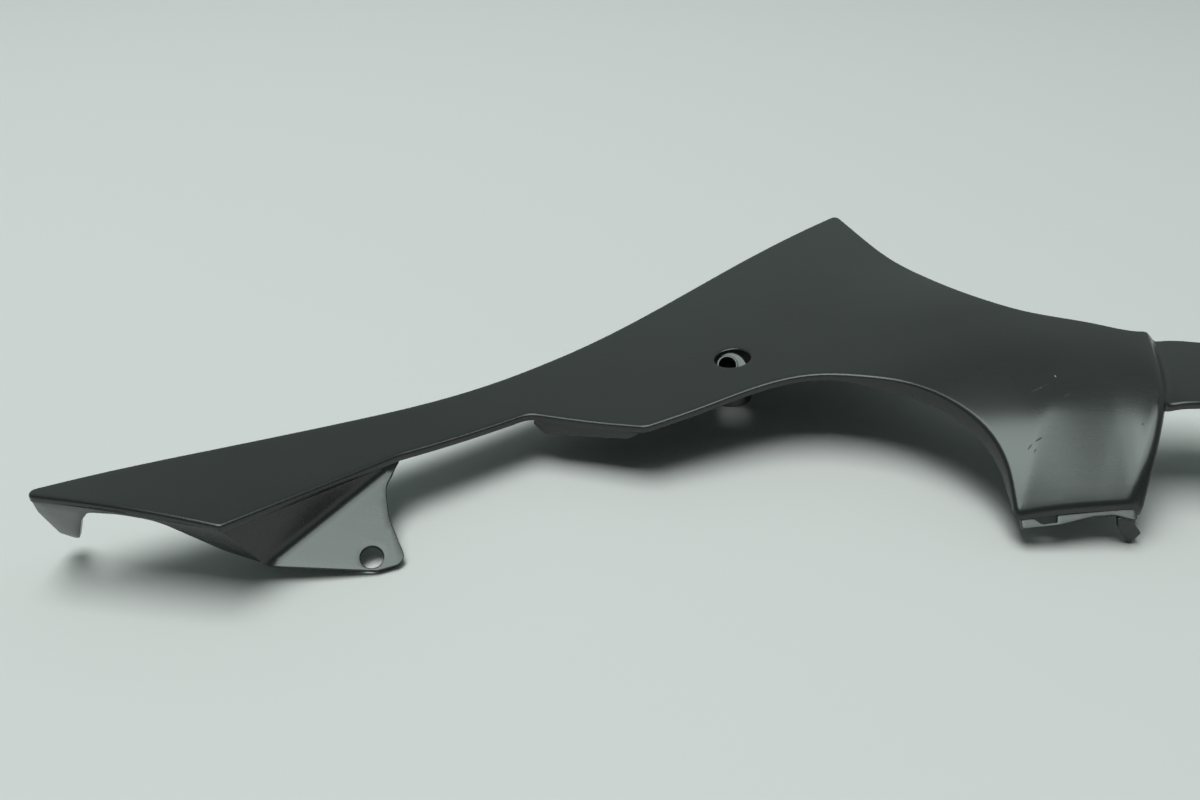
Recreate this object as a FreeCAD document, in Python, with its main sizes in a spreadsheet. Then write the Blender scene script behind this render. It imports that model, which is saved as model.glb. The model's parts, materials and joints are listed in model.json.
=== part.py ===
"""Motorcycle side cover, one moulded shell. Plan origin while building: the screw well."""
import FreeCAD, Part
import math
import os

V = FreeCAD.Vector
doc = FreeCAD.newDocument("side_cover")

# Every driving size, in mm or degrees.
SIZES = [
    ("wall", 2.4, "wall of the shell"),
    ("flange_depth", 3.8, "turned-down rim, skin included"),
    ("waist_height", 29.0, "skin height at the arm's waist"),
    ("nose_rise", 16.0, "rise from the waist to the nose"),
    ("body_rise", 17.0, "rise from the waist to the body"),
    ("shoulder_rise", 16.0, "extra rise of the shoulder bulge"),
    ("leg_fall", 13.0, "how far the leg has fallen at leg_reach"),
    ("leg_reach", 66.0, "plan distance over which the leg falls leg_fall"),
    ("ridge_rise", 3.0, "soft ridge down the leg, beside the arch"),
    ("step_drop", 6.5, "step from the shoulder down to the tongue"),
    ("step_width", 10.0, "width of that step"),
    ("nose_x", -311.4, "nose tip"),
    ("nose_y", -123.0, "nose tip"),
    ("blade_x", -222.5, "near corner of the blade"),
    ("blade_y", -138.0, "near corner of the blade"),
    ("arm_x", -161.0, "end of the wedge wall"),
    ("arm_y", -77.0, "end of the wedge wall"),
    ("notch_x", -104.0, "left corner of the shallow notch"),
    ("notch_y", -38.5, "left corner of the shallow notch"),
    ("notch_end_x", -47.0, "right corner of the shallow notch"),
    ("notch_end_y", -53.5, "right corner of the shallow notch"),
    ("foot_x", 116.5, "left corner of the leg's foot"),
    ("foot_y", -102.5, "left corner of the leg's foot"),
    ("foot_end_x", 173.5, "right corner of the leg's foot"),
    ("foot_end_y", -100.0, "right corner of the leg's foot"),
    ("flank_x", 190.5, "inner corner between leg and tongue"),
    ("flank_y", -65.0, "inner corner between leg and tongue"),
    ("tongue_end_x", 292.0, "plain end of the tongue"),
    ("tongue_near_y", -64.0, "tongue's near edge at its end"),
    ("tongue_far_y", -25.0, "tongue's far edge at its end"),
    ("peak_x", 87.5, "tip of the peak"),
    ("peak_y", 175.0, "tip of the peak"),
    ("well_radius", 9.2, "mouth of the screw well"),
    ("well_depth", 9.5, "depth of the well at its centre"),
    ("seat_tilt", 38.0, "degrees the screw seat leans to the near side"),
    ("screw_radius", 4.4, "screw hole"),
    ("collar_radius", 5.6, "raised collar round the screw hole"),
    ("boss_foot", 15.0, "height of the boss sleeve's lower end"),
    ("pin_x", 16.0, "locating pin"),
    ("pin_y", 46.0, "locating pin"),
    ("pin_radius", 4.5, "locating pin"),
    ("pin_free", 14.0, "free length of the locating pin"),
    ("post_radius", 6.5, "post above the locating pin's shoulder"),
    ("pin_rib", 12.0, "reach of the post's ribs"),
    ("apron_tilt", 25.0, "degrees the nose apron runs back under the skin"),
    ("ear_hole_radius", 5.0, "hole in the ear"),
    ("lip_tilt", 38.0, "degrees the foot lip slopes down to the near side"),
    ("collar_height", 1.2, "collar's height over the seat"),
]
sheet = doc.addObject("Spreadsheet::Sheet", "Sizes")
for row, (alias, value, note) in enumerate(SIZES, start=1):
    sheet.set("A%d" % row, alias)
    sheet.set("B%d" % row, str(value))
    sheet.set("C%d" % row, note)
    sheet.setAlias("B%d" % row, alias)
doc.recompute()


def size(alias):
    return float(sheet.get(alias))


def feature(name, shape):
    made = doc.addObject("Part::Feature", name)
    made.Shape = shape
    return made


def boolean(kind, name, base, tool):
    made = doc.addObject("Part::" + kind, name)
    made.Base = base
    made.Tool = tool
    return made


def bind(made, **cells):
    for prop, formula in cells.items():
        made.setExpression(prop.replace("__", "."), formula)
    return made


def ease(t):
    t = min(max(t, 0.0), 1.0)
    return t * t * t * (t * (6.0 * t - 15.0) + 10.0)


WALL = size("wall")


def step_line(y):
    """Where the step to the tongue starts."""
    return 199.5 + 0.29 * (y + 15.0) - 0.0038 * max(0.0, -50.0 - y) ** 2


def ridge(x, y):
    """Share of the leg's ridge over a plan point: narrow to the arch, broad to the flank."""
    up = y - size("foot_y")
    off = x - size("foot_x") - 1.5 - 0.489 * up
    breadth = 32.0 if off > 0.0 else max(14.0, 5.0 + 0.8 * up)
    length = ease((-38.0 - y) / 35.0) * (0.35 + 0.65 * ease((up + 2.0) / 26.0))
    return length * (1.0 - ease(abs(off) / breadth))


def skin(x, y):
    """Height of the outer skin over a plan point."""
    z = size("waist_height")
    z += size("nose_rise") * ease((-95.0 - x) / 210.0)
    z += size("body_rise") * ease((x + 100.0) / 190.0)
    z += size("shoulder_rise") * ease((x - 45.0) / 115.0) * ease((125.0 - y) / 120.0)
    on_leg = ease((x - 20.0) / 90.0) * (1.0 - 0.75 * ease((x - 165.0) / 40.0))
    out = max(0.0, -y) / size("leg_reach")
    out = out ** 2.7 if out < 1.6 else 1.6 ** 2.7 + 2.7 * 1.6 ** 1.7 * (out - 1.6)
    z -= size("leg_fall") * out * on_leg
    z += size("ridge_rise") * ridge(x, y)
    z -= size("step_drop") * ease((x - step_line(y)) / size("step_width"))
    return z


def skin_normal(x, y):
    along = V(1.0, 0.0, (skin(x + 0.2, y) - skin(x - 0.2, y)) / 0.4)
    across = V(0.0, 1.0, (skin(x, y + 0.2) - skin(x, y - 0.2)) / 0.4)
    return along.cross(across).normalize()


# Plan grid of the skin, closer on the leg and at the step.
GRID_X = [-330.0 + 17.0 * i for i in range(26)]
GRID_X += [104.0 + 8.5 * i for i in range(7)]
GRID_X += [161.0 + 4.8 * i for i in range(13)]
GRID_X += [226.0, 236.0, 248.0, 262.0, 277.0, 292.0, 308.0, 324.0]
GRID_Y = [-152.0, -137.0, -124.0]
GRID_Y += [-113.0 + 9.0 * i for i in range(9)]
GRID_Y += [-29.0 + 13.0 * i for i in range(18)]


def skin_face(inward):
    """Skin surface moved inward along its own normals."""
    grid = []
    for x in GRID_X:
        grid.append([V(x, y, skin(x, y)) - skin_normal(x, y) * inward for y in GRID_Y])
    surface = Part.BSplineSurface()
    surface.interpolate(grid)
    return surface.toShape()


def rim(x, y):
    """Lower outer edge of the rim over a plan point."""
    return V(x, y, skin(x, y) - size("flange_depth"))


# Outline corners: x, y, corner radius, then the curve's points on the way to the next corner.
CORNERS = [
    (size("nose_x"), size("nose_y"), 2.6, []),
    (size("blade_x"), size("blade_y"), 3.0, []),
    (size("arm_x"), size("arm_y"), 40.0, []),
    (size("notch_x"), size("notch_y"), 9.0, []),
    (size("notch_end_x"), size("notch_end_y"), 8.0,
     [(-15.0, -40.5), (10.0, -30.5), (35.0, -25.8), (57.0, -28.6), (75.0, -35.0), (90.0, -46.0),
      (102.0, -59.5), (110.5, -73.5), (115.0, -88.0)]),
    (size("foot_x"), size("foot_y"), 3.0, []),
    (size("foot_end_x"), size("foot_end_y"), 3.2, [(181.0, -85.0)]),
    (size("flank_x"), size("flank_y"), 3.0, []),
    (size("tongue_end_x"), size("tongue_near_y"), 15.0, []),
    (size("tongue_end_x"), size("tongue_far_y"), 15.0,
     [(232.0, -13.6), (214.0, -11.5), (198.0, -13.5), (181.0, -6.2), (164.0, 1.2), (150.0, 8.0),
      (138.0, 19.5), (126.5, 41.0), (117.0, 76.0), (104.0, 115.0)]),
    (size("peak_x"), size("peak_y"), 3.4,
     [(51.0, 141.5), (4.0, 101.0), (-46.0, 57.5), (-90.0, 18.0), (-130.0, -14.0), (-188.0, -53.5),
      (-246.0, -89.5)]),
]


def rounded_wire(corners, inset=0.0):
    """Closed wire, set in by inset: lines or curves between the corners, an arc at each corner."""
    points = [V(x, y, 0.0) for x, y, r, way in corners]
    ways = [[V(x, y, 0.0) for x, y in way] for cx, cy, r, way in corners]
    count = len(points)
    leave = []
    reach = []
    for i in range(count):
        chain = [points[i]] + ways[i] + [points[(i + 1) % count]]
        leave.append((chain[1] - chain[0]).normalize())
        reach.append((chain[-1] - chain[-2]).normalize())

    def shifted(point, heading):
        return point + V(-heading.y, heading.x, 0.0).normalize() * inset

    starts = []
    ends = []
    arcs = []
    for i in range(count):
        radius = corners[i][2]
        came = reach[i - 1]
        turn = came.getAngle(leave[i])
        cut = radius * math.tan(turn / 2.0)
        first = points[i] - came * cut
        last = points[i] + leave[i] * cut
        middle = points[i] + (leave[i] - came).normalize() * (radius / math.cos(turn / 2.0) - radius)
        ends.append(first)
        starts.append(last)
        arc = None
        if radius:
            bulge = shifted(middle, came + leave[i])
            arc = Part.Arc(shifted(first, came), bulge, shifted(last, leave[i])).toShape()
        arcs.append(arc)
    edges = []
    for i in range(count):
        target = ends[(i + 1) % count]
        if arcs[i]:
            edges.append(arcs[i])
        if ways[i]:
            through = [starts[i]] + ways[i] + [target]
            curve = Part.BSplineCurve()
            curve.interpolate(Points=through, InitialTangent=leave[i], FinalTangent=reach[i])
            if inset:
                steps = 2 * len(ways[i]) + 2
                first, last = curve.FirstParameter, curve.LastParameter
                places = [first + (last - first) * k / steps for k in range(steps + 1)]
                moved = [shifted(curve.value(t), curve.tangent(t)[0]) for t in places]
                curve = Part.BSplineCurve()
                curve.interpolate(Points=moved, InitialTangent=leave[i], FinalTangent=reach[i])
            edges.append(curve.toShape())
        else:
            edges.append(Part.makeLine(shifted(starts[i], leave[i]), shifted(target, reach[i])))
    return Part.Wire(edges)


# Shell: the skin's upper layer inside the outline, hollowed by the wall.
outline = feature("outline", rounded_wire(CORNERS))
outline_prism = doc.addObject("Part::Extrusion", "outline_prism")
outline_prism.Base = outline
outline_prism.Dir = V(0, 0, 1)
outline_prism.LengthFwd = 100.0
outline_prism.LengthRev = 40.0
outline_prism.Solid = True
upper_layer = feature("upper_layer", skin_face(0.0).extrude(V(0, 0, -size("flange_depth"))))
outer = doc.addObject("Part::MultiCommon", "outer")
outer.Shapes = [upper_layer, outline_prism]
inset = feature("inset", rounded_wire(CORNERS, WALL))
inset_prism = doc.addObject("Part::Extrusion", "inset_prism")
inset_prism.Base = inset
inset_prism.Dir = V(0, 0, 1)
inset_prism.LengthFwd = 100.0
inset_prism.LengthRev = 40.0
inset_prism.Solid = True
lower_space = feature("lower_space", skin_face(WALL).extrude(V(0, 0, -90.0)))
hollow = doc.addObject("Part::MultiCommon", "hollow")
hollow.Shapes = [lower_space, inset_prism]
shell = boolean("Cut", "shell", outer, hollow)


def plate(name, origin, along, toward, corners):
    """Flat wall: its outer face holds the corners, its thickness goes to the hidden side."""
    along = V(along).normalize()
    back = along.cross(toward).normalize()
    down = back.cross(along)
    face = feature(name + "_face", Part.Face(rounded_wire(corners)))
    face.Placement = FreeCAD.Placement(origin, FreeCAD.Rotation(along, down, back, "XYZ"))
    made = doc.addObject("Part::Extrusion", name)
    made.Base = face
    made.DirMode = "Custom"
    made.Dir = back
    made.Solid = True
    made.setExpression("LengthFwd", "Sizes.wall")
    return made


def behind(way):
    """Level direction from a near edge to the inside of the cover."""
    return V(-way.y, way.x, 0.0).normalize()


# Nose apron: a wall that runs back under the blade, with a tab and a low arch.
blade = rim(size("blade_x"), size("blade_y"))
nose = rim(size("nose_x") + 8.4, size("nose_y") - 1.4)
front = blade - nose
tilt = math.radians(size("apron_tilt"))
apron_down = V(0, 0, -math.cos(tilt)) + behind(front) * math.sin(tilt)
apron_origin = nose + behind(front) * 0.6
front_length = front.Length
apron = plate("apron", apron_origin, front, apron_down, [
    (0.0, -1.5, 0.0, []),
    (-2.0, 0.4, 1.5, []),
    (-5.0, 11.0, 6.0, []),
    (-6.0, 33.0, 2.5, []),
    (1.6, 36.6, 2.5, []),
    (13.8, 13.5, 10.0, []),
    (22.0, 2.6, 9.0, []),
    (37.0, -1.6, 30.0, []),
    (53.5, -1.6, 16.0, []),
    (75.0, 20.5, 20.0, []),
    (front_length + 9.0, 28.5, 0.0, []),
    (front_length, -1.5, 0.0, []),
    (front_length / 2.0, -3.2, 0.0, []),
])
along_front = V(front).normalize()
fold_start = apron_origin + along_front * (front_length + 9.0) + apron_down * 28.5

# Wedge wall from the blade's right edge down to the fold.
arm = rim(size("arm_x"), size("arm_y"))
right = arm - blade
wedge_top = blade + behind(right) * 0.6
wedge_end = arm + behind(right) * 0.6
wedge_along = V(right).normalize()
wedge_down = fold_start - wedge_top
reach_down = wedge_down - wedge_along * wedge_down.dot(wedge_along)
wedge = plate("wedge", wedge_top, right, wedge_down, [
    (0.0, -1.5, 0.0, []),
    (wedge_down.dot(wedge_along), reach_down.Length, 0.0, []),
    (right.Length, 0.6, 0.0, []),
    (right.Length + 2.0, -1.5, 0.0, []),
])

# Ear: flat plate on the fold, its near corner low enough to stand on the table.
ear_corner = V(-164.5, -123.5, 2.05)
fold = wedge_end - fold_start
ear = plate("ear", fold_start, fold, ear_corner - fold_start, [
    (0.0, -0.6, 0.0, []),
    (-0.6, 0.8, 1.0, []),
    (31.5, 33.9, 10.0, []),
    (43.6, 39.9, 5.0, []),
    (51.8, 18.2, 22.0, []),
    (60.3, 6.4, 12.0, []),
    (75.0, -0.3, 0.0, []),
    (75.0, -1.5, 0.0, []),
])
ear_along = V(fold).normalize()
ear_back = ear_along.cross(ear_corner - fold_start).normalize()
ear_down = ear_back.cross(ear_along)
ear_middle = fold_start + ear_along * 34.0 + ear_down * 27.5

# Deeper stretch of rim in the shallow notch.
notch = rim(size("notch_x"), size("notch_y"))
notch_end = rim(size("notch_end_x"), size("notch_end_y"))
level = V(notch_end.x - notch.x, notch_end.y - notch.y, 0.0)
notch_wall = plate("notch_wall", notch + behind(level) * 0.15, level, V(0, 0, -1), [
    (3.0, -1.4, 0.0, []),
    (2.0, 2.0, 1.0, []),
    (8.0, 7.6, 3.0, []),
    (50.0, 3.0, 6.0, []),
    (56.0, -1.0, 0.0, []),
    (56.0, -2.4, 0.0, []),
])

# Lip that slopes out from under the foot, with a slot and a hooked tooth that stands on the table.
foot = rim(size("foot_x"), size("foot_y") + 1.3) + V(0, 0.5, 0.35)
foot_line = rim(size("foot_end_x") - 3.0, size("foot_end_y") + 2.8) - foot
lip_lean = math.radians(size("lip_tilt"))
lip_toward = V(0, -math.cos(lip_lean), -math.sin(lip_lean))
lip = plate("lip", foot, foot_line, lip_toward, [
    (3.0, -2.5, 0.0, []),
    (2.6, 5.8, 0.8, []),
    (19.0, 6.1, 6.0, []),
    (34.7, 4.4, 10.0, []),
    (44.0, 4.9, 6.0, []),
    (53.5, 9.0, 1.5, []),
    (53.8, 1.0, 2.0, []),
    (54.0, -2.5, 0.0, []),
])
lip_along = V(foot_line).normalize()
lip_back = lip_along.cross(lip_toward).normalize()
lip_down = lip_back.cross(lip_along)
lip_slot = plate("lip_slot", foot - lip_back, foot_line, lip_toward, [
    (8.0, 1.0, 0.0, []),
    (11.6, 4.6, 0.6, []),
    (18.4, 4.7, 0.6, []),
    (19.4, 1.0, 0.0, []),
])
lip_slot.setExpression("LengthFwd", "Sizes.wall + 2")
tooth_top = foot + lip_along * 48.0 + lip_down * 5.2 + V(0, -0.6, -1.5)
stand = tooth_top.z
tooth = plate("tooth", tooth_top, V(1, 0, 0), V(0, 0, -1), [
    (-2.6, 0.0, 0.0, []),
    (-0.6, 0.39 * stand, 3.0, []),
    (7.0, stand + 0.6, 1.0, []),
    (10.6, 0.59 * stand, 1.2, []),
    (6.4, 0.26 * stand, 2.0, []),
    (5.8, 0.0, 0.0, []),
])

# Screw well: sleeve, leaning seat, collar and hole.
well_top = skin(0.0, 0.0)
sleeve = doc.addObject("Part::Cylinder", "sleeve")
bind(sleeve, Radius="Sizes.well_radius + Sizes.wall", Placement__Base__z="Sizes.boss_foot")
sleeve.Height = well_top - 1.0 - size("boss_foot")
well = doc.addObject("Part::Cylinder", "well")
bind(well, Radius="Sizes.well_radius")
well.Height = 80.0
well.Placement.Base = V(0, 0, -5.0)
lean = FreeCAD.Rotation(V(1, 0, 0), size("seat_tilt"))
seat_middle = V(0, 0, well_top - size("well_depth"))
seat_area = doc.addObject("Part::Cylinder", "seat_area")
bind(seat_area, Radius="Sizes.well_radius + 0.8")
seat_area.Height = 40.0
seat_slab = doc.addObject("Part::Box", "seat_slab")
seat_slab.Length = 40.0
seat_slab.Width = 40.0
bind(seat_slab, Height="Sizes.wall")
seat_slab.Placement = FreeCAD.Placement(seat_middle + lean.multVec(V(-20.0, -20.0, -WALL)), lean)
seat = doc.addObject("Part::MultiCommon", "seat")
seat.Shapes = [seat_slab, seat_area]
slack = size("well_radius") - size("collar_radius")
screw_at = V(-0.56 * slack, 0.94 * slack, 0.0)
screw_at.z = seat_middle.z + screw_at.y * math.tan(math.radians(size("seat_tilt")))
collar = doc.addObject("Part::Cylinder", "collar")
bind(collar, Radius="Sizes.collar_radius", Height="Sizes.collar_height + 0.5 * Sizes.wall")
collar.Placement = FreeCAD.Placement(screw_at + lean.multVec(V(0, 0, -WALL / 2.0)), lean)
screw_hole = doc.addObject("Part::Cylinder", "screw_hole")
bind(screw_hole, Radius="Sizes.screw_radius")
screw_hole.Height = 10.0
screw_hole.Placement = FreeCAD.Placement(screw_at + lean.multVec(V(0, 0, -WALL - 0.4)), lean)

# Locating pin with two ribs, under the body.
pin = doc.addObject("Part::Cylinder", "pin")
bind(pin, Radius="Sizes.pin_radius", Placement__Base__x="Sizes.pin_x", Placement__Base__y="Sizes.pin_y",
     Placement__Base__z="0")
pin.Height = 40.0
post = doc.addObject("Part::Cylinder", "post")
bind(post, Radius="Sizes.post_radius", Placement__Base__x="Sizes.pin_x", Placement__Base__y="Sizes.pin_y",
     Placement__Base__z="Sizes.pin_free")
post.Height = 60.0
ribs = []
for name, reach_x, reach_y in (("rib_along", 1.0, 0.0), ("rib_across", 0.0, 1.0)):
    rib = doc.addObject("Part::Box", name)
    half_x = size("pin_rib") * reach_x + 0.9 * reach_y
    half_y = size("pin_rib") * reach_y + 0.9 * reach_x
    rib.Length = 2.0 * half_x
    rib.Width = 2.0 * half_y
    rib.Height = 60.0
    rib.Placement.Base = V(size("pin_x") - half_x, size("pin_y") - half_y, size("pin_free") + 6.0)
    ribs.append(rib)
under_skin = feature("under_skin", skin_face(0.6 * WALL).extrude(V(0, 0, -90.0)))
pin_body = doc.addObject("Part::MultiFuse", "pin_body")
pin_body.Shapes = [pin, post] + ribs
support = doc.addObject("Part::MultiCommon", "support")
support.Shapes = [pin_body, under_skin]

# All walls joined, then the well and the holes.
joined = doc.addObject("Part::MultiFuse", "joined")
joined.Shapes = [shell, apron, wedge, ear, notch_wall, lip, tooth, sleeve, support]
opened = boolean("Cut", "opened", joined, well)
seated = doc.addObject("Part::MultiFuse", "seated")
seated.Shapes = [opened, seat, collar]
ear_hole = doc.addObject("Part::Cylinder", "ear_hole")
bind(ear_hole, Radius="Sizes.ear_hole_radius")
ear_hole.Height = 20.0
ear_hole.Placement = FreeCAD.Placement(ear_middle + ear_back * 10.0, FreeCAD.Rotation(V(0, 0, 1), -ear_back))
holes = doc.addObject("Part::MultiFuse", "holes")
holes.Shapes = [screw_hole, ear_hole, lip_slot]
cover = boolean("Cut", "side_cover", seated, holes)
doc.recompute()

for made in doc.Objects:
    if made.isDerivedFrom("Part::Feature"):
        if "Invalid" in made.State or made.Shape.isNull() or not made.Shape.isValid():
            raise RuntimeError("bad shape: " + made.Name)
if len(cover.Shape.Solids) != 1:
    raise RuntimeError("the cover is not one solid")

# Stand the part on z = 0 with its box centred over the origin.
points = cover.Shape.tessellate(0.05)[0]
low = V(min(p.x for p in points), min(p.y for p in points), min(p.z for p in points))
high = V(max(p.x for p in points), max(p.y for p in points), max(p.z for p in points))
cover.Placement.Base = V(-(low.x + high.x) / 2.0, -(low.y + high.y) / 2.0, -low.z)
print("box", high - low, "shift", cover.Placement.Base)
print("ear hole", ear_middle + cover.Placement.Base, -ear_back)
print("screw", screw_at + cover.Placement.Base, lean.multVec(V(0, 0, 1)))
print("pin", V(size("pin_x"), size("pin_y"), 0.0) + cover.Placement.Base)
os.makedirs("parts", exist_ok=True)
cover.Shape.exportStep("parts/side_cover.step")
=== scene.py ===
"""Looks of a motorcycle side cover: one worn satin black shell on a plain pale stage."""
import json
import math

import bmesh
import bpy
import numpy as np
from bpy.props import FloatProperty, FloatVectorProperty, PointerProperty
from bpy.types import Operator, Panel, PropertyGroup
from mathutils import Matrix, Vector
from mathutils.geometry import delaunay_2d_cdt


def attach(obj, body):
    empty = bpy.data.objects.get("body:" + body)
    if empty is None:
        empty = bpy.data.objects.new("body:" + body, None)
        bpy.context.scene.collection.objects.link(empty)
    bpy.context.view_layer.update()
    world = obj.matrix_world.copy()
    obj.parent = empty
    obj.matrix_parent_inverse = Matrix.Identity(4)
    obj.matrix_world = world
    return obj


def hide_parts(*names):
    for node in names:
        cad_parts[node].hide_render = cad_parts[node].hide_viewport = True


bl_info = {
    "name": "Motorcycle side cover",
    "version": (1, 0, 0),
    "blender": (4, 5, 0),
    "location": "View3D > Sidebar > Cover",
    "description": "Builds the looks of a moulded motorcycle side cover",
    "category": "Object",
}

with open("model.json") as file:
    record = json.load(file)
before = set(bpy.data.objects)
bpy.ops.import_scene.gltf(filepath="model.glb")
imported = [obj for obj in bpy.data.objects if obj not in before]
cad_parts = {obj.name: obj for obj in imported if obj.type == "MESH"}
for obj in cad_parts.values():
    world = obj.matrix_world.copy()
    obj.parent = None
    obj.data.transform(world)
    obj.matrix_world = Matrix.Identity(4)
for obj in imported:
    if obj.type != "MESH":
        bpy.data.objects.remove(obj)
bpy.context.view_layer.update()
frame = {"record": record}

# Lengths below are in mm, with the plan origin at the screw well's centre.
MM = 0.001
WALL = 2.4
WAIST_HEIGHT = 29.0
BLADE_RISE = 16.0
BODY_RISE = 17.0
SHOULDER_RISE = 16.0
LEG_DROP = 13.0
LEG_REACH = 66.0
LEG_CURVE = 2.7
LEG_STRAIGHT = 1.6
RIDGE_RISE = 3.0
RIDGE_SLANT = 0.489
RIDGE_ROUND = 1.6
STEP_DROP = 6.5
STEP_WIDTH = 10.0
FLANGE_DEPTH = 3.8
ARCH_DEPTH = 4.2
WELL_RADIUS = 9.2
WELL_DEPTH = 9.5
MOUTH_ROUND = 1.0
WELL_SIDES = 72
SEAT_TILT = math.radians(38.0)
SCREW_RADIUS = 4.4
COLLAR_RADIUS = 5.6
SEAT_LEFT = 0.56 * (WELL_RADIUS - COLLAR_RADIUS)
SEAT_BACK = 0.94 * (WELL_RADIUS - COLLAR_RADIUS)
COLLAR_HEIGHT = 1.2
BOSS_FOOT = 15.0
PIN_AT = (16.0, 46.0)
PIN_RADIUS = 4.5
PIN_FREE = 14.0
POST_RADIUS = 6.5
PIN_RIB = 12.0
RIB_HALF = 0.9
APRON_TILT = math.radians(25.0)
FOLD_AT = (9.0, 28.5)
EAR_CORNER = (-164.5, -123.5, 2.05)
EAR_HOLE_AT = (34.0, 27.5)
EAR_HOLE_RADIUS = 5.0
LIP_TILT = math.radians(38.0)
LIP_ROUND = 0.35
TOOTH_ROUND = 0.5
PLATE_SET_BACK = 0.6
WEDGE_SET_BACK = 1.6
FOLD_ROUND = 6.0
SHARP_ANGLE = math.radians(35.0)
CAMERA_AT = (-69.0, -450.0, 300.0)
CAMERA_DOWN = 32.6

NOSE = (-312.3, -122.85)
BLADE = (-222.5, -138.0)
ARM = (-161.0, -77.0)
NOTCH = (-104.0, -38.5)
NOTCH_END = (-47.0, -53.5)
FOOT = (116.5, -102.5)
FOOT_END = (173.5, -100.0)
FLANK = (190.5, -65.0)
TONGUE_NEAR = (292.0, -64.0)
TONGUE_FAR = (292.0, -25.0)
PEAK = (87.5, 175.0)

# Outline corners: place, corner radius, then the curve's points on the way to the next corner.
CORNERS = [
    (NOSE, 3.0, []),
    (BLADE, 3.0, []),
    (ARM, 40.0, []),
    (NOTCH, 9.0, []),
    (NOTCH_END, 8.0,
     [(-15.0, -40.5), (10.0, -30.5), (35.0, -25.8), (57.0, -28.6), (75.0, -35.0), (90.0, -46.0),
      (102.0, -59.5), (110.5, -73.5), (115.0, -88.0)]),
    (FOOT, 3.0, []),
    (FOOT_END, 3.2, [(181.0, -85.0)]),
    (FLANK, 3.0, []),
    (TONGUE_NEAR, 15.0, []),
    (TONGUE_FAR, 15.0,
     [(232.0, -13.6), (214.0, -11.5), (198.0, -13.5), (181.0, -6.2), (164.0, 1.2), (150.0, 8.0),
      (138.0, 19.5), (126.5, 41.0), (117.0, 76.0), (104.0, 115.0)]),
    (PEAK, 3.4,
     [(51.0, 141.5), (4.0, 101.0), (-46.0, 57.5), (-90.0, 18.0), (-130.0, -14.0), (-188.0, -53.5),
      (-246.0, -89.5)]),
]

# Wear on the leg's face: both ends of each mark, then half its breadth.
SCRATCHES = [
    ((123.6, -82.4), (126.4, -80.1), 0.30),
    ((127.2, -79.9), (131.2, -78.4), 0.36),
    ((126.2, -83.9), (127.6, -82.3), 0.26),
    ((176.7, -74.4), (177.5, -73.4), 0.40),
]
SCUFFS = [
    ((129.2, -57.8), (138.8, -53.6), 0.40),
    ((131.5, -57.4), (141.5, -52.4), 0.30),
    ((144.2, -61.4), (149.3, -58.1), 0.35),
    ((143.1, -83.7), (149.6, -80.2), 0.45),
]
CHIPS = [
    ((144.4, -48.7), (145.0, -48.3), 0.42),
]
DIRT_AT = (163.0, -100.0, 16.6)
DIRT_REACH = (6.5, 2.8, 2.4)
MARK_DEPTH = 2.6
SCUFF_COLOUR = (0.045, 0.049, 0.047)
# The scratches' near-black colour is painted shade, standing in for the highlight that real scratches
# scatter away.
SCRATCH_SHADE_COLOUR = (0.004, 0.005, 0.005)
DIRT_COLOUR = (0.11, 0.08, 0.055)
CHIP_COLOUR = (0.62, 0.64, 0.62)

# Light: colours, and the reflecting cards as name, edges in x and share of their power.
ROOM_COLOUR = (0.85, 1.0, 0.95, 1.0)
CARD_COLOUR = (0.86, 1.0, 0.94)
CARDS = [
    ("card_left", (-0.8, 0.25), 0.6),
    ("card_right", (0.25, 1.12), 0.37),
]


def ease(t):
    """Smooth step from 0 to 1 with level ends."""
    t = min(max(t, 0.0), 1.0)
    return t * t * t * (t * (6.0 * t - 15.0) + 10.0)


def step_line(y):
    """Where the step to the tongue starts."""
    return 199.5 + 0.29 * (y + 15.0) - 0.0038 * max(0.0, -50.0 - y) ** 2


def ridge(x, y):
    """Share of the leg's crisp ridge over a plan point: narrow to the arch, broad to the flank."""
    up = y - FOOT[1]
    off = x - FOOT[0] - 1.5 - RIDGE_SLANT * up
    breadth = 32.0 if off > 0.0 else max(8.0, 5.0 + 0.8 * up)
    length = ease((-38.0 - y) / 35.0) * (0.55 + 0.45 * ease((up + 2.0) / 26.0))
    away = min(1.0, (math.hypot(off, RIDGE_ROUND) - RIDGE_ROUND) / breadth)
    return length * (1.0 - away) ** 1.6


def skin(x, y):
    """Height of the outer skin over a plan point."""
    z = WAIST_HEIGHT
    z += BLADE_RISE * ease((-95.0 - x) / 210.0)
    z += BODY_RISE * ease((x + 100.0) / 190.0)
    z += SHOULDER_RISE * ease((x - 45.0) / 115.0) * ease((125.0 - y) / 120.0)
    on_leg = ease((x - 20.0) / 90.0) * (1.0 - 0.75 * ease((x - 165.0) / 40.0))
    out = max(0.0, -y) / LEG_REACH
    past = max(0.0, out - LEG_STRAIGHT)
    curve = min(out, LEG_STRAIGHT)
    roll = curve ** LEG_CURVE + LEG_CURVE * LEG_STRAIGHT ** (LEG_CURVE - 1.0) * past
    z -= LEG_DROP * roll * on_leg
    z += RIDGE_RISE * ridge(x, y)
    z -= STEP_DROP * ease((x - step_line(y)) / STEP_WIDTH)
    return z


def rim_depth(x, y):
    """Depth of the turned-down rim, skin included: more on the leg's side of the arch."""
    on_arch = ease((x - 40.0) / 45.0) * (1.0 - ease((x - 120.0) / 25.0))
    on_arch *= ease((y + 100.0) / 14.0) * ease((10.0 - y) / 30.0)
    return FLANGE_DEPTH + ARCH_DEPTH * on_arch


def upright(x, y, thickness):
    """Vertical measure of a thickness that is taken square to the skin."""
    along = (skin(x + 0.2, y) - skin(x - 0.2, y)) / 0.4
    across = (skin(x, y + 0.2) - skin(x, y - 0.2)) / 0.4
    return thickness * math.sqrt(1.0 + along * along + across * across)


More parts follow.
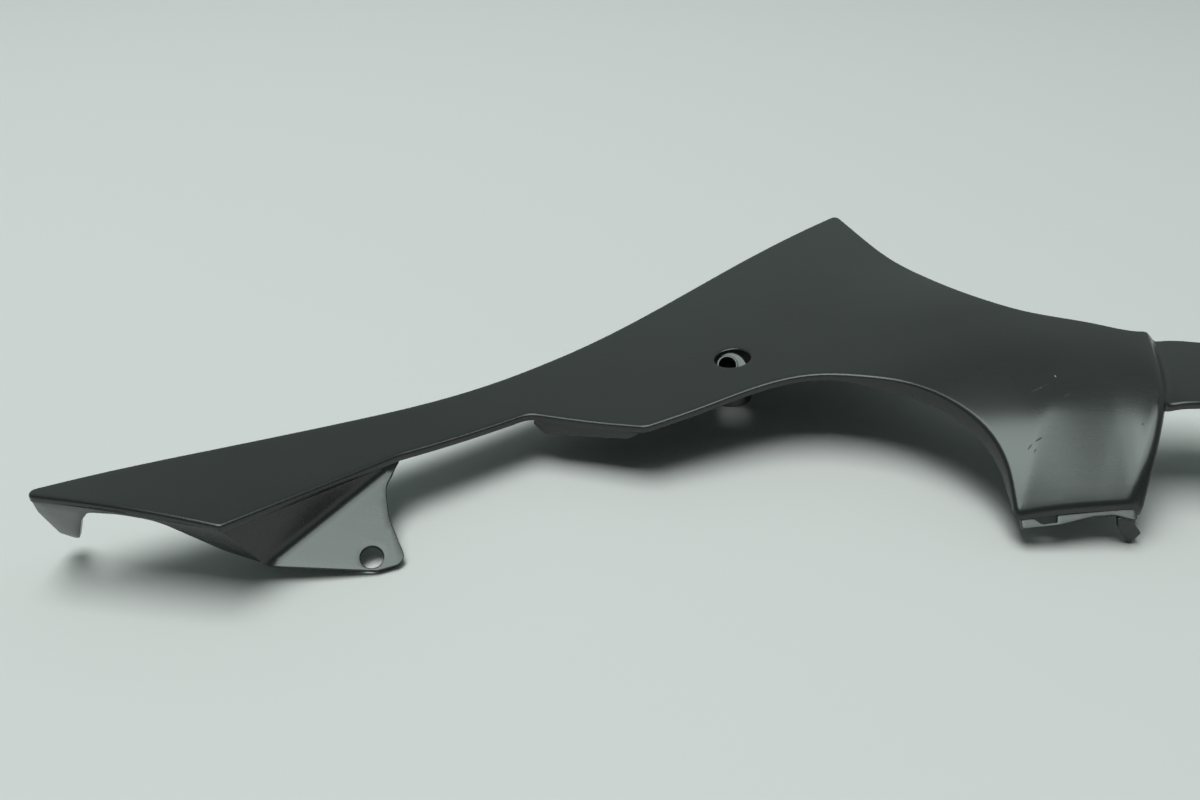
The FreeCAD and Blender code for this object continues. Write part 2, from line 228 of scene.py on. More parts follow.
def seat_height(y):
    """Height of the screw seat's leaning plane."""
    return skin(0.0, 0.0) - WELL_DEPTH + y * math.tan(SEAT_TILT)


SCREW_AT = Vector((-SEAT_LEFT, SEAT_BACK, seat_height(SEAT_BACK)))
SCREW_MOUNT = next(m for m in frame["record"]["mounts"] if m["name"] == "screw_hole")
SHIFT = Vector(SCREW_MOUNT["pos_m"]) / MM - SCREW_AT


def to_frame(point):
    """A point in mm from the well's centre, as metres in the part's frame."""
    return (Vector(point) + SHIFT) * MM


# Outlines


def smooth_run(points, leave, reach, gap):
    """Points along a smooth curve through the given ones, with set headings at both ends."""
    places = np.array([tuple(p) for p in points])
    spans = np.linalg.norm(np.diff(places, axis=0), axis=1)
    count = len(places)
    matrix = np.eye(count)
    target = np.zeros((count, 2))
    target[0] = tuple(leave)
    target[-1] = tuple(reach)
    for i in range(1, count - 1):
        before, after = spans[i - 1], spans[i]
        matrix[i, i - 1:i + 2] = (1.0 / before, 2.0 / before + 2.0 / after, 1.0 / after)
        target[i] = 3.0 * (places[i] - places[i - 1]) / before ** 2
        target[i] += 3.0 * (places[i + 1] - places[i]) / after ** 2
    headings = np.linalg.solve(matrix, target)
    run = []
    for i, span in enumerate(spans):
        steps = max(1, round(span / gap))
        for k in range(steps):
            t = k / steps
            place = (2 * t ** 3 - 3 * t ** 2 + 1) * places[i]
            place = place + (t ** 3 - 2 * t ** 2 + t) * span * headings[i]
            place = place + (3 * t ** 2 - 2 * t ** 3) * places[i + 1]
            place = place + (t ** 3 - t ** 2) * span * headings[i + 1]
            run.append(Vector(place))
    return run[1:]


def corner_arc(point, radius, came, went, gap):
    """Arc that rounds a corner between two headings."""
    turn = math.atan2(came.x * went.y - came.y * went.x, came.dot(went))
    first = point - came * radius * math.tan(abs(turn) / 2.0)
    centre = first + Vector((-came.y, came.x)) * math.copysign(radius, turn)
    steps = max(2, math.ceil(radius * abs(turn) / gap))
    return [centre + Matrix.Rotation(turn * k / steps, 2) @ (first - centre) for k in range(steps + 1)]


def rounded_outline(corners, gap):
    """Closed outline, counter-clockwise: lines or curves between corners, an arc at each corner."""
    points = [Vector(place) for place, radius, way in corners]
    chains = []
    for i, (place, radius, way) in enumerate(corners):
        chains.append([points[i]] + [Vector(p) for p in way] + [points[(i + 1) % len(points)]])
    leave = [(chain[1] - chain[0]).normalized() for chain in chains]
    reach = [(chain[-1] - chain[-2]).normalized() for chain in chains]
    arc_gap = min(gap, 0.8)
    arcs = []
    for i, (place, radius, way) in enumerate(corners):
        arcs.append(corner_arc(points[i], radius, reach[i - 1], leave[i], arc_gap))
    outline = []
    for i, chain in enumerate(chains):
        outline += arcs[i]
        ends = [arcs[i][-1]] + chain[1:-1] + [arcs[(i + 1) % len(arcs)][0]]
        outline += smooth_run(ends, leave[i], reach[i], gap)
    area = sum(a.x * b.y - a.y * b.x for a, b in zip(outline, outline[1:] + outline[:1]))
    return outline if area > 0.0 else outline[::-1]


def circle(centre, radius, count):
    """Clockwise circle, the outline of a hole."""
    turns = [-2.0 * math.pi * k / count for k in range(count)]
    return [Vector((centre[0] + radius * math.cos(a), centre[1] + radius * math.sin(a))) for a in turns]


def inward_headings(outline):
    """Unit headings into the material at each point of a closed outline."""
    found = []
    for i, point in enumerate(outline):
        along = outline[(i + 1) % len(outline)] - outline[i - 1]
        found.append(Vector((-along.y, along.x)).normalized())
    return found


def encloses(outline, points):
    """Which points lie inside a closed outline."""
    inside = np.zeros(len(points), bool)
    x, y = points[:, 0], points[:, 1]
    for a, b in zip(outline, np.roll(outline, -1, axis=0)):
        if a[1] != b[1]:
            crosses = (a[1] > y) != (b[1] > y)
            inside ^= crosses & (x < (b[0] - a[0]) * (y - a[1]) / (b[1] - a[1]) + a[0])
    return inside


# Sheets


def fill_sheet(bm, loops, plans, gap, lift):
    """Fills between loops of vertices with even triangles, lifted from the plan."""
    plans = [np.array([tuple(p) for p in plan]) for plan in plans]
    low, high = plans[0].min(axis=0), plans[0].max(axis=0)
    grid = []
    for row, y in enumerate(np.arange(low[1] + gap / 2.0, high[1], gap * math.sqrt(0.75))):
        for x in np.arange(low[0] + gap / 2.0 * (row % 2), high[0], gap):
            grid.append((x, y))
    grid = np.array(grid)
    keep = encloses(plans[0], grid)
    for hole in plans[1:]:
        keep &= ~encloses(hole, grid)
    grid = grid[keep]
    nearest = np.full(len(grid), np.inf)
    for point in np.concatenate(plans):
        nearest = np.minimum(nearest, np.hypot(*(grid - point).T))
    grid = grid[nearest > 0.6 * gap]
    verts = [v for loop in loops for v in loop]
    edges = []
    start = 0
    for loop in loops:
        count = len(loop)
        edges += [(start + i, start + (i + 1) % count) for i in range(count)]
        start += count
    for x, y in grid:
        verts.append(bm.verts.new(lift(x, y)))
    coords = [Vector(p) for p in np.concatenate(plans + [grid])]
    cut = delaunay_2d_cdt(coords, edges, [], 1, 1e-6)
    found, faces, from_verts = cut[0], cut[2], cut[3]
    middles = np.array([tuple((found[a] + found[b] + found[c]) / 3.0) for a, b, c in faces])
    solid = np.ones(len(faces), bool)
    for hole in plans[1:]:
        solid &= ~encloses(hole, middles)
    for face, wanted in zip(faces, solid):
        if wanted:
            bm.faces.new([verts[from_verts[k][0]] for k in face])


def new_loop(bm, places, points):
    """Closed loop of vertices that remember their place in the loop."""
    loop = []
    for i, point in enumerate(points):
        vert = bm.verts.new(point)
        vert[places] = i
        loop.append(vert)
    return loop


def run_rim(bm, places, loop, rows, point_at):
    """Extrudes a closed loop of edges row by row and returns the last loop."""
    for row in rows:
        edges = [bm.edges.get((loop[i - 1], loop[i])) for i in range(len(loop))]
        made = bmesh.ops.extrude_edge_only(bm, edges=edges)["geom"]
        fresh = {v[places]: v for v in made if isinstance(v, bmesh.types.BMVert)}
        loop = [fresh[i] for i in range(len(loop))]
        for i, vert in enumerate(loop):
            vert.co = point_at(i, row)
    return loop


def quarter_round(radius, steps):
    """Rows of a rounded edge as (inset, drop), without its first."""
    turns = [math.pi / 2.0 * k / steps for k in range(1, steps + 1)]
    return [(radius * (1.0 - math.sin(a)), radius * (1.0 - math.cos(a))) for a in turns]


def moulded_plate(bm, places, outlines, thickness, edge_round, gap, lift):
    """Sheet of even thickness with rounded edges. lift gives the point for a place and a depth."""
    headings = [inward_headings(outline) for outline in outlines]
    rows = quarter_round(edge_round, 3)
    rows += [(inset, thickness - drop) for inset, drop in rows[-2::-1]] + [(edge_round, thickness)]
    fronts, backs, plans = [], [], []
    for outline, heading in zip(outlines, headings):
        plan = [p + n * edge_round for p, n in zip(outline, heading)]
        plans.append(plan)
        fronts.append(new_loop(bm, places, [lift(p.x, p.y, 0.0) for p in plan]))
    fill_sheet(bm, fronts, plans, gap, lambda x, y: lift(x, y, 0.0))
    for outline, heading, front in zip(outlines, headings, fronts):
        def point_at(i, row, outline=outline, heading=heading):
            place = outline[i] + heading[i] * row[0]
            return lift(place.x, place.y, row[1])
        backs.append(run_rim(bm, places, front, rows, point_at))
    fill_sheet(bm, backs, plans, gap, lambda x, y: lift(x, y, thickness))


def flat_lift(origin, along, toward):
    """Lift onto a plane: x along it, y down it, depth to the hidden side."""
    along = Vector(along).normalized()
    back = along.cross(toward).normalized()
    down = back.cross(along)
    return lambda x, y, depth: origin + along * x + down * y + back * depth


def rim_point(x, y):
    """Lower outer edge of the rim over a plan point."""
    return Vector((x, y, skin(x, y) - FLANGE_DEPTH))


def behind(way):
    """Level direction from a near edge to the inside of the cover."""
    return Vector((-way.y, way.x, 0.0)).normalized()


# Pieces of the shell


def add_skin(bm, places, sizes):
    """Outer skin with its rolled rim and screw well, then the inside of both."""
    edge = sizes.rim_round / MM
    gap = sizes.skin_gap / MM
    outline = rounded_outline(CORNERS, 2.0)
    headings = inward_headings(outline)
    turns = [-2.0 * math.pi * k / WELL_SIDES for k in range(WELL_SIDES)]

    def rim_at(i, row):
        level, inset, drop = row
        place = outline[i] + headings[i] * inset
        if level == "rim":
            drop += rim_depth(outline[i].x, outline[i].y)
        if level == "inside":
            drop = upright(place.x, place.y, WALL)
        return Vector((place.x, place.y, skin(place.x, place.y) - drop))

    def well_at(i, row):
        kind, radius, value = row
        across = radius * math.cos(turns[i])
        out = radius * math.sin(turns[i])
        if kind == "skin":
            return Vector((across, out, skin(across, out) - value))
        if kind == "inside":
            return Vector((across, out, skin(across, out) - upright(across, out, WALL)))
        if kind == "seat":
            return Vector((across, out, seat_height(out) + value))
        if kind == "level":
            return Vector((across, out, value))
        leaning = Matrix.Rotation(SEAT_TILT, 3, "X")
        return SCREW_AT + leaning @ Vector((across, out, value))

    rim_plan = [p + n * edge for p, n in zip(outline, headings)]
    rim_loop = new_loop(bm, places, [rim_at(i, ("skin", edge, 0.0)) for i in range(len(outline))])
    mouth_radius = WELL_RADIUS + MOUTH_ROUND
    mouth_plan = circle((0.0, 0.0), mouth_radius, WELL_SIDES)
    mouth = [well_at(i, ("skin", mouth_radius, 0.0)) for i in range(WELL_SIDES)]
    mouth_loop = new_loop(bm, places, mouth)
    fill_sheet(bm, [rim_loop, mouth_loop], [rim_plan, mouth_plan], gap,
               lambda x, y: Vector((x, y, skin(x, y))))

    rim_rows = [("skin", inset, drop) for inset, drop in quarter_round(edge, 6)]
    rim_rows += [("rim", 0.0, -0.4), ("rim", 0.12, -0.12), ("rim", 0.4, 0.0)]
    rim_rows += [("rim", WALL - 0.2, 0.0), ("rim", WALL, -0.2), ("inside", WALL, 0.0)]
    inner_loop = run_rim(bm, places, rim_loop, rim_rows, rim_at)

    sleeve = WELL_RADIUS + WALL
    well_rows = [("skin", WELL_RADIUS + inset, drop) for inset, drop in quarter_round(MOUTH_ROUND, 4)]
    well_rows += [
        ("seat", WELL_RADIUS, 0.5),
        ("seat", WELL_RADIUS - 0.15, 0.15),
        ("seat", WELL_RADIUS - 0.5, 0.0),
        ("collar", COLLAR_RADIUS + 0.3, 0.0),
        ("collar", COLLAR_RADIUS, 0.3),
        ("collar", COLLAR_RADIUS, COLLAR_HEIGHT - 0.3),
        ("collar", COLLAR_RADIUS - 0.3, COLLAR_HEIGHT),
        ("collar", SCREW_RADIUS + 0.25, COLLAR_HEIGHT),
        ("collar", SCREW_RADIUS, COLLAR_HEIGHT - 0.25),
        ("collar", SCREW_RADIUS, -WALL),
        ("seat", WELL_RADIUS, -WALL / math.cos(SEAT_TILT)),
        ("level", WELL_RADIUS, BOSS_FOOT + 0.4),
        ("level", WELL_RADIUS + 0.4, BOSS_FOOT),
        ("level", sleeve - 0.4, BOSS_FOOT),
        ("level", sleeve, BOSS_FOOT + 0.4),
        ("inside", sleeve, 0.0),
    ]
    sleeve_loop = run_rim(bm, places, mouth_loop, well_rows, well_at)

    inner_plan = [p + n * WALL for p, n in zip(outline, headings)]
    sleeve_plan = circle((0.0, 0.0), sleeve, WELL_SIDES)
    fill_sheet(bm, [inner_loop, sleeve_loop], [inner_plan, sleeve_plan], 1.6 * gap,
               lambda x, y: Vector((x, y, skin(x, y) - upright(x, y, WALL))))


def nose_walls():
    """Places and directions that the apron, the wedge wall and the ear share."""
    blade = rim_point(*BLADE)
    nose = rim_point(NOSE[0] + 9.3, NOSE[1] - 1.55)
    front = blade - nose
    down = Vector((0.0, 0.0, -math.cos(APRON_TILT))) + behind(front) * math.sin(APRON_TILT)
    origin = nose + behind(front) * PLATE_SET_BACK
    fold_start = origin + front.normalized() * (front.length + FOLD_AT[0]) + down * FOLD_AT[1]
    return blade, front, down, origin, fold_start


def add_apron(bm, places, sizes):
    """Wall that runs back under the blade, with a tab and a low arch."""
    blade, front, down, origin, fold_start = nose_walls()
    length = front.length
    corners = [
        ((0.0, -1.5), 0.8, []),
        ((-2.0, 0.4), 1.5, []),
        ((-5.0, 11.0), 6.0, []),
        ((-6.0, 33.0), 2.5, []),
        ((1.6, 36.6), 2.5, []),
        ((13.8, 13.5), 10.0, []),
        ((22.0, 2.6), 9.0, []),
        ((37.0, -0.8), 30.0, []),
        ((53.5, -0.8), 16.0, []),
        ((75.0, 20.5), 20.0, []),
        ((length + FOLD_AT[0], FOLD_AT[1]), 0.8, []),
        ((length, -1.5), 0.8, []),
        ((length / 2.0, -3.2), 0.8, []),
    ]
    outline = rounded_outline(corners, 2.0)
    lift = flat_lift(origin, front, down)
    moulded_plate(bm, places, [outline], WALL, sizes.plate_round / MM, 6.0, lift)


def add_ear(bm, places, sizes):
    """Wedge wall down from the blade's right edge, folded forward into the drilled ear."""
    blade, front, down, origin, fold_start = nose_walls()
    arm = rim_point(*ARM)
    right = arm - blade
    wedge_top = blade + behind(right) * PLATE_SET_BACK
    wedge_end = arm + behind(right) * WEDGE_SET_BACK
    fold = (wedge_end - fold_start).normalized()
    ear_back = fold.cross(Vector(EAR_CORNER) - fold_start).normalized()
    ear_down = ear_back.cross(fold)
    wedge_back = right.cross(fold_start - wedge_top).normalized()
    wedge_up = fold.cross(wedge_back).normalized()
    if wedge_up.dot(wedge_top - fold_start) < 0.0:
        wedge_up.negate()
    turn = math.pi - wedge_up.angle(ear_down)
    reach = FOLD_ROUND * math.tan(turn / 2.0)
    centre = (wedge_up + ear_down).normalized() * (FOLD_ROUND / math.cos(turn / 2.0))
    arc_start = wedge_up * reach - centre
    arc_end = ear_down * reach - centre

    def lift(s, t, depth):
        share = min(max((t + reach) / (2.0 * reach), 0.0), 1.0)
        if t <= -reach:
            place = wedge_up * -t
        elif t >= reach:
            place = ear_down * t
        else:
            place = centre + arc_start.slerp(arc_end, share) * FOLD_ROUND
        back = wedge_back.slerp(ear_back, share)
        return fold_start + fold * s + place + back * depth

    top = wedge_top + Vector((0.0, 0.0, 1.5)) - fold_start
    end = wedge_end + Vector((0.0, 0.0, 1.5)) + right.normalized() * 2.0 - fold_start
    corners = [
        ((-0.6, 0.8), 1.0, []),
        ((31.5, 33.9), 10.0, []),
        ((43.6, 39.9), 5.0, []),
        ((51.8, 18.2), 22.0, []),
        ((60.3, 6.4), 12.0, []),
        ((72.5, 1.2), 0.8, []),
        ((end.dot(fold), -end.dot(wedge_up)), 0.8, []),
        ((top.dot(fold), -top.dot(wedge_up)), 0.8, []),
    ]
    hole = circle(EAR_HOLE_AT, EAR_HOLE_RADIUS, 48)
    outline = rounded_outline(corners, 1.5)
    moulded_plate(bm, places, [outline, hole], WALL, sizes.plate_round / MM, 2.5, lift)


def add_notch_wall(bm, places, sizes):
    """Deeper stretch of rim in the shallow notch."""
    notch = rim_point(*NOTCH)
    end = rim_point(*NOTCH_END)
    level = Vector((end.x - notch.x, end.y - notch.y, 0.0))
    corners = [
        ((3.0, -1.4), 0.8, []),
        ((2.0, 2.0), 1.0, []),
        ((8.0, 7.6), 3.0, []),
        ((50.0, 3.0), 6.0, []),
        ((57.0, -1.9), 0.8, []),
    ]
    lift = flat_lift(notch + behind(level) * 0.15, level, Vector((0.0, 0.0, -1.0)))
    moulded_plate(bm, places, [rounded_outline(corners, 1.5)], WALL, sizes.plate_round / MM, 3.0, lift)


def add_foot(bm, places):
    """Slotted lip that slopes out from under the foot, and the hooked tooth it stands on."""
    foot = rim_point(FOOT[0], FOOT[1] + 1.3) + Vector((0.0, 0.5, 0.35))
    line = rim_point(FOOT_END[0] - 3.0, FOOT_END[1] + 2.8) - foot
    lip_lift = flat_lift(foot, line, Vector((0.0, -math.cos(LIP_TILT), -math.sin(LIP_TILT))))
    lip = [
        ((3.0, -2.5), 0.8, []),
        ((2.6, 5.8), 0.8, []),
        ((19.0, 6.1), 6.0, []),
        ((34.7, 4.4), 10.0, []),
        ((44.0, 4.9), 6.0, []),
        ((53.5, 9.0), 1.5, []),
        ((53.8, 1.0), 2.0, []),
        ((54.0, -2.5), 0.8, []),
    ]
    slot = [
        ((8.0, 1.0), 0.5, []),
        ((11.6, 4.6), 0.6, []),
        ((18.4, 4.7), 0.6, []),
        ((19.4, 1.0), 0.5, []),
    ]
    outlines = [rounded_outline(lip, 1.0), rounded_outline(slot, 0.6)[::-1]]
    moulded_plate(bm, places, outlines, WALL, LIP_ROUND, 1.5, lip_lift)
    top = lip_lift(48.0, 5.2, 0.0) + Vector((0.0, -0.6, -1.5))
    tooth = [
        ((-2.6, 0.0), 0.8, []),
        ((-0.6, 0.39 * top.z), 3.0, []),
        ((7.0, top.z + 0.6), 1.0, []),
        ((10.6, 0.59 * top.z), 1.2, []),
        ((6.4, 0.26 * top.z), 2.0, []),
        ((5.8, 0.0), 0.8, []),
    ]
    tooth_lift = flat_lift(top, Vector((1.0, 0.0, 0.0)), Vector((0.0, 0.0, -1.0)))
    moulded_plate(bm, places, [rounded_outline(tooth, 1.0)], WALL, TOOTH_ROUND, 2.0, tooth_lift)


def add_pin(bm):
    """Locating pin on its shouldered post, with four ribs, under the body."""
    base = Vector((PIN_AT[0], PIN_AT[1], 0.0))
    top = skin(*PIN_AT) - WALL / 2.0
    profile = [
        (0.0, 0.0),
        (PIN_RADIUS - 0.6, 0.0),
        (PIN_RADIUS, 0.6),
        (PIN_RADIUS, PIN_FREE),
        (POST_RADIUS - 0.4, PIN_FREE),
        (POST_RADIUS, PIN_FREE + 0.4),
        (POST_RADIUS, top),
        (0.0, top),
    ]
    verts = [bm.verts.new(base + Vector((r, 0.0, z))) for r, z in profile]
    edges = [bm.edges.new(pair) for pair in zip(verts, verts[1:])]
    bmesh.ops.spin(bm, geom=verts + edges, cent=base, axis=(0.0, 0.0, 1.0), steps=48,
                   angle=2.0 * math.pi, use_merge=True)
    bmesh.ops.remove_doubles(bm, verts=bm.verts[:], dist=1e-4)
    for reach, half in ((PIN_RIB, RIB_HALF), (RIB_HALF, PIN_RIB)):
        cube = bmesh.ops.create_cube(bm, size=1.0)["verts"]
        for vert in cube:
            x = PIN_AT[0] + 2.0 * reach * vert.co.x
            y = PIN_AT[1] + 2.0 * half * vert.co.y
            high = skin(x, y) - WALL / 2.0
            vert.co = Vector((x, y, high if vert.co.z > 0.0 else PIN_FREE + 6.0))


# Finish


def feed(tree, socket, value):
    """Links a socket to an input, or sets a value on it."""
    if isinstance(value, bpy.types.NodeSocket):
        tree.links.new(value, socket)
    else:
        socket.default_value = value


def add_node(tree, kind, **inputs):
    """New shader node, its named inputs set or linked."""
    made = tree.nodes.new(kind)
    for name, value in inputs.items():
        feed(tree, made.inputs[name.replace("_", " ")], value)
    return made


def combine(tree, operation, first, second):
    """One number from two, each a value or a socket."""
    node = tree.nodes.new("ShaderNodeMath")
    node.operation = operation
    feed(tree, node.inputs[0], first)
    feed(tree, node.inputs[1], second)
    return node.outputs[0]


def spread(tree, value, **limits):
    """Number taken from one range to another, 0 to 1 where not given."""
    return add_node(tree, "ShaderNodeMapRange", Value=value, **limits).outputs[0]


def noise(tree, place, scale, detail):
    """Number that varies from place to place."""
    return add_node(tree, "ShaderNodeTexNoise", Vector=place, Scale=scale, Detail=detail).outputs["Fac"]


def tinted(tree, mask, base, colour):
    """Colour laid over a base where the mask is."""
    mix = tree.nodes.new("ShaderNodeMix")
    mix.data_type = "RGBA"
    feed(tree, mix.inputs["Factor"], mask)
    feed(tree, mix.inputs["A"], base)
    feed(tree, mix.inputs["B"], (*colour, 1.0))
    return mix.outputs["Result"]


def near_mask(tree, place, centre, heading, reach):
    """Mask of 1 inside an ellipsoid with a soft edge. Its reach along, across and up is in mm."""
    mapping = add_node(tree, "ShaderNodeMapping", Vector=place, Location=to_frame(centre),
                       Rotation=(0.0, 0.0, heading), Scale=[r * MM for r in reach])
    mapping.vector_type = "TEXTURE"
    far = add_node(tree, "ShaderNodeVectorMath", Vector=mapping.outputs[0])
    far.operation = "LENGTH"
    return spread(tree, far.outputs["Value"], From_Min=1.0, From_Max=0.55)


def streaks(tree, place, marks):
    """Mask of thin marks on the outer skin."""
    mask = 0.0
    for start, end, half in marks:
        along = Vector(end) - Vector(start)
        middle = (Vector(end) + Vector(start)) / 2.0
        centre = (middle.x, middle.y, skin(middle.x, middle.y))
        reach = (along.length / 2.0, half, MARK_DEPTH)
        near = near_mask(tree, place, centre, math.atan2(along.y, along.x), reach)
        mask = combine(tree, "MAXIMUM", mask, near)
    return mask


def satin_black(finish):
    """Satin black moulded plastic with a fine grain, wiping marks, scratches darkened with painted shade, a
    chip and dirt.
    """
    material = bpy.data.materials.new("satin_black")
    material.use_nodes = True
    tree = material.node_tree
    shader = tree.nodes["Principled BSDF"]
    place = tree.nodes.new("ShaderNodeTexCoord").outputs["Object"]
    stretch = add_node(tree, "ShaderNodeMapping", Vector=place,
                       Rotation=(0.0, 0.0, math.radians(31.0)), Scale=(18.0, 330.0, 120.0))
    cloud = noise(tree, place, 22.0, 4.0)
    grain = noise(tree, place, 1800.0, 2.0)
    wipe = noise(tree, stretch.outputs[0], 1.0, 3.0)
    speck = spread(tree, noise(tree, place, 750.0, 3.0), From_Min=0.56, From_Max=0.62)
    broken = spread(tree, grain, From_Min=0.42, From_Max=0.6)

    scratch_and_shade = streaks(tree, place, SCRATCHES)
    chip = streaks(tree, place, CHIPS)
    scuff = combine(tree, "MULTIPLY", streaks(tree, place, SCUFFS), broken)
    dirt = combine(tree, "MULTIPLY", near_mask(tree, place, DIRT_AT, 0.1, DIRT_REACH), speck)
    wear = (
        (scuff, SCUFF_COLOUR, 0.2),
        # Scratches: roughness and groove are real wear, their darker colour is painted shade.
        (scratch_and_shade, SCRATCH_SHADE_COLOUR, 0.45),
        (dirt, DIRT_COLOUR, 0.4),
        (chip, CHIP_COLOUR, 0.3),
    )

    clouded = spread(tree, cloud, From_Min=0.3, From_Max=0.7)
    dark = (*(0.88 * c for c in finish.plastic), 1.0)
    colour = tinted(tree, clouded, dark, [1.12 * c for c in finish.plastic])
    rough = spread(tree, cloud, To_Min=finish.roughness - 0.04, To_Max=finish.roughness + 0.04)
    streaky = spread(tree, wipe, From_Min=0.35, From_Max=0.7, To_Min=-0.006, To_Max=0.008)
    rough = combine(tree, "ADD", rough, streaky)
    for mask, tint, gain in wear:
        colour = tinted(tree, mask, colour, tint)
        rough = combine(tree, "ADD", rough, combine(tree, "MULTIPLY", mask, gain))
    cut = combine(tree, "SUBTRACT", grain, combine(tree, "MULTIPLY", scratch_and_shade, 3.0))
    bump = add_node(tree, "ShaderNodeBump", Height=cut, Strength=0.08, Distance=0.0002)
    shader.inputs["IOR"].default_value = finish.ior
    tree.links.new(colour, shader.inputs["Base Color"])
    tree.links.new(rough, shader.inputs["Roughness"])
    tree.links.new(bump.outputs[0], shader.inputs["Normal"])
    return material


def pale_floor(stage):
    """Plain pale table."""
    material = bpy.data.materials.new("pale_floor")
    material.use_nodes = True
    shader = material.node_tree.nodes["Principled BSDF"]
    shader.inputs["Base Color"].default_value = (*stage.floor, 1.0)
    shader.inputs["Roughness"].default_value = 0.7
    return material


def soft_room(stage):
    """Room light: pale behind and above the cover, dim behind the camera, with a pale backdrop."""
    world = bpy.data.worlds.new("soft_room")
    world.use_nodes = True
    tree = world.node_tree
    heading = tree.nodes.new("ShaderNodeTexCoord").outputs["Generated"]
    split = add_node(tree, "ShaderNodeSeparateXYZ", Vector=heading).outputs
    level = spread(tree, split["Y"], From_Min=-0.25, From_Max=0.05, To_Min=0.03 * stage.room,
                   To_Max=stage.room)
    raised = spread(tree, split["Z"], From_Min=0.08, From_Max=0.4, To_Min=0.1, To_Max=1.0)
    aside = spread(tree, split["X"], From_Min=-0.4, From_Max=0.4, To_Min=1.0, To_Max=0.76)
    level = combine(tree, "MULTIPLY", level, raised)
    level = combine(tree, "MULTIPLY", level, aside)
    rays = tree.nodes.new("ShaderNodeLightPath").outputs
    seen = combine(tree, "MULTIPLY", rays["Is Glossy Ray"], 0.3)
    for ray in ("Is Camera Ray", "Is Transmission Ray"):
        seen = combine(tree, "MAXIMUM", seen, rays[ray])
    background = tree.nodes["Background"]
    background.inputs["Color"].default_value = ROOM_COLOUR
    level = spread(tree, seen, To_Min=level, To_Max=stage.backdrop)
    tree.links.new(level, background.inputs["Strength"])
    return world


def add_lamp(name, place, target, width, depth, watts):
    """Soft rectangular light, aimed at a point."""
    lamp = bpy.data.lights.new(name, "AREA")
    lamp.shape = "RECTANGLE"
    lamp.size = width
    lamp.size_y = depth
    lamp.energy = watts
    made = bpy.data.objects.new(name, lamp)
    made.location = place
    made.rotation_euler = (Vector(target) - Vector(place)).to_track_quat("-Z", "Y").to_euler()
    bpy.context.scene.collection.objects.link(made)
    return made


# Add-on classes


class CoverSizes(PropertyGroup):
    rim_round: FloatProperty(
        name="Rim round", description="Radius of the skin's rolled edge", default=0.0016, unit="LENGTH")
    plate_round: FloatProperty(
        name="Wall round", description="Radius on the edges of the walls", default=0.00045, unit="LENGTH")
    skin_gap: FloatProperty(
        name="Skin spacing", description="Spacing of the skin's mesh points", default=0.0021, unit="LENGTH")


class CoverFinish(PropertyGroup):
    plastic: FloatVectorProperty(
        name="Plastic", description="Colour of the moulded plastic", size=3, subtype="COLOR",
        default=(0.011, 0.0135, 0.0128), min=0.0, max=1.0)
    roughness: FloatProperty(
        name="Roughness", description="Roughness of the satin surface", default=0.28, subtype="FACTOR",
        min=0.0, max=1.0)
    ior: FloatProperty(
        name="Refraction", description="Refractive index of the plastic", default=1.58)


class CoverStage(PropertyGroup):
    floor: FloatVectorProperty(
        name="Floor", description="Colour of the table", size=3, subtype="COLOR",
        default=(0.63, 0.67, 0.65), min=0.0, max=1.0)
    key_watts: FloatProperty(
        name="Key light", description="Power of the overhead light", default=144.0)
    card_watts: FloatProperty(
        name="Card light", description="Power of the cards that only gloss shows", default=37.0)
    room: FloatProperty(
        name="Room light", description="Brightness of the pale side of the room", default=0.40)
    backdrop: FloatProperty(
        name="Backdrop", description="Brightness of the pale backdrop", default=0.6)
    lens: FloatProperty(
        name="Lens", description="Focal length of the camera in mm", default=30.0)


class COVER_OT_shell(Operator):
    """Builds the moulded shell"""

    bl_idname = "cover.shell"
    bl_label = "Moulded shell"

    def execute(self, context):
        sizes = context.scene.cover_sizes
        bm = bmesh.new()
        places = bm.verts.layers.int.new("loop_place")
        add_skin(bm, places, sizes)
        add_apron(bm, places, sizes)
        add_ear(bm, places, sizes)
        add_notch_wall(bm, places, sizes)
        add_foot(bm, places)
        add_pin(bm)
        for vert in bm.verts:
            vert.co = to_frame(vert.co)
        bmesh.ops.recalc_face_normals(bm, faces=bm.faces[:])
        for face in bm.faces:
            face.smooth = True
        bm.verts.layers.int.remove(places)
        mesh = bpy.data.meshes.new("side_cover_shell")
        bm.to_mesh(mesh)
        bm.free()
        mesh.set_sharp_from_angle(angle=SHARP_ANGLE)
        shell = bpy.data.objects.new("side_cover_shell", mesh)
        context.scene.collection.objects.link(shell)
        mesh.materials.append(satin_black(context.scene.cover_finish))
        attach(shell, "root")
        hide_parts("side_cover")
        return {"FINISHED"}


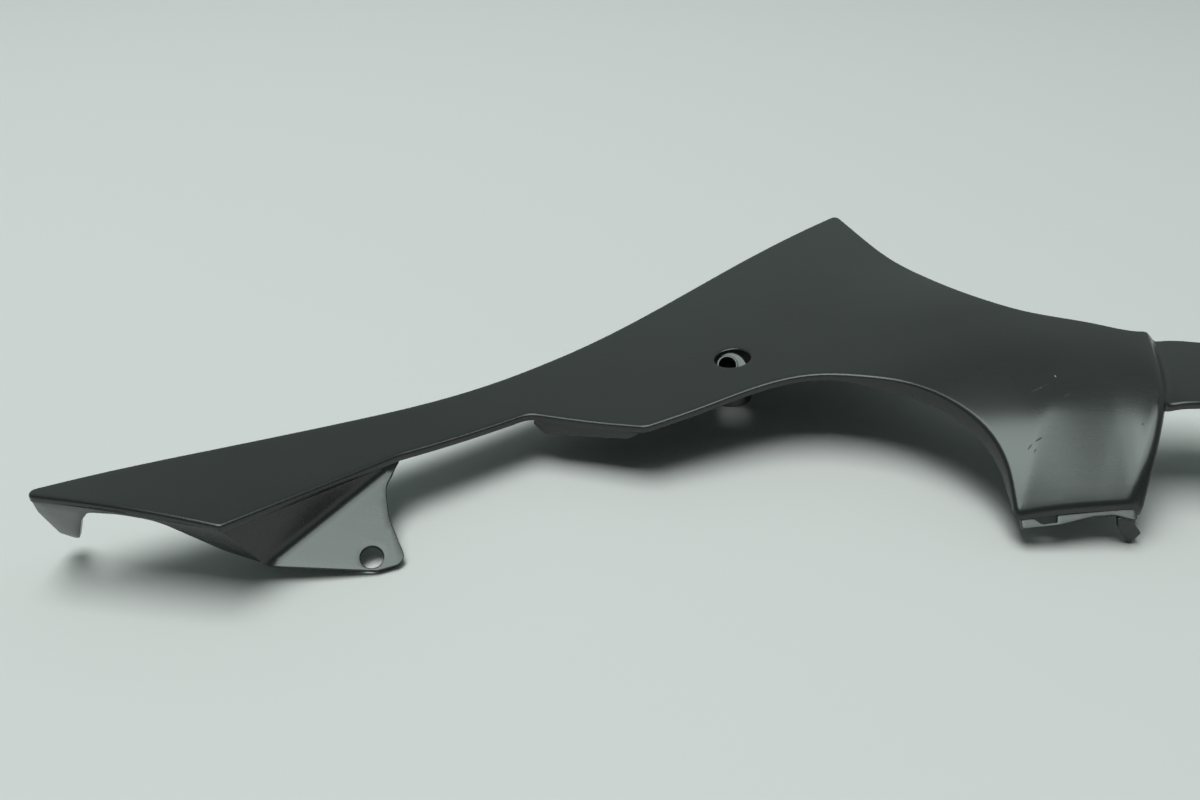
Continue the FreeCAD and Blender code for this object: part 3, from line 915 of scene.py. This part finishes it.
class COVER_OT_stage(Operator):
    """Sets the floor, the lights and the camera"""

    bl_idname = "cover.stage"
    bl_label = "Stage"

    def execute(self, context):
        scene = context.scene
        stage = scene.cover_stage
        bm = bmesh.new()
        bmesh.ops.create_grid(bm, x_segments=1, y_segments=1, size=4.0)
        mesh = bpy.data.meshes.new("floor")
        bm.to_mesh(mesh)
        bm.free()
        floor = bpy.data.objects.new("floor", mesh)
        mesh.materials.append(pale_floor(stage))
        scene.collection.objects.link(floor)

        key = add_lamp("key", (-0.75, 0.12, 4.0), (0.0, 0.0, 0.0), 3.0, 2.0, stage.key_watts)
        key.visible_glossy = False
        for name, (left, right), share in CARDS:
            middle = (left + right) / 2.0
            card = add_lamp(name, (middle, -0.78, 1.5), (middle, -0.4, 0.0), right - left, 1.3,
                            share * stage.card_watts)
            card.visible_diffuse = False
            card.data.color = CARD_COLOUR

        scene.world = soft_room(stage)

        camera_data = bpy.data.cameras.new("camera")
        camera_data.lens = stage.lens
        camera_data.sensor_width = 36.0
        camera = bpy.data.objects.new("camera", camera_data)
        camera.location = to_frame(CAMERA_AT)
        camera.rotation_euler = (math.radians(90.0 - CAMERA_DOWN), 0.0, 0.0)
        scene.collection.objects.link(camera)
        scene.camera = camera
        scene.view_settings.view_transform = "Standard"
        return {"FINISHED"}


class COVER_PT_panel(Panel):
    bl_idname = "COVER_PT_panel"
    bl_label = "Side cover"
    bl_space_type = "VIEW_3D"
    bl_region_type = "UI"
    bl_category = "Cover"

    def draw(self, context):
        layout = self.layout
        scene = context.scene
        for group in (scene.cover_sizes, scene.cover_finish, scene.cover_stage):
            for name in group.__annotations__:
                layout.prop(group, name)
        for operator in (COVER_OT_shell, COVER_OT_stage):
            layout.operator(operator.bl_idname)


CLASSES = (CoverSizes, CoverFinish, CoverStage, COVER_OT_shell, COVER_OT_stage, COVER_PT_panel)


def register():
    for cls in CLASSES:
        bpy.utils.register_class(cls)
    bpy.types.Scene.cover_sizes = PointerProperty(type=CoverSizes)
    bpy.types.Scene.cover_finish = PointerProperty(type=CoverFinish)
    bpy.types.Scene.cover_stage = PointerProperty(type=CoverStage)


def unregister():
    del bpy.types.Scene.cover_stage
    del bpy.types.Scene.cover_finish
    del bpy.types.Scene.cover_sizes
    for cls in reversed(CLASSES):
        bpy.utils.unregister_class(cls)


def main():
    register()
    bpy.ops.cover.shell()
    bpy.ops.cover.stage()


if __name__ == "__main__":
    main()
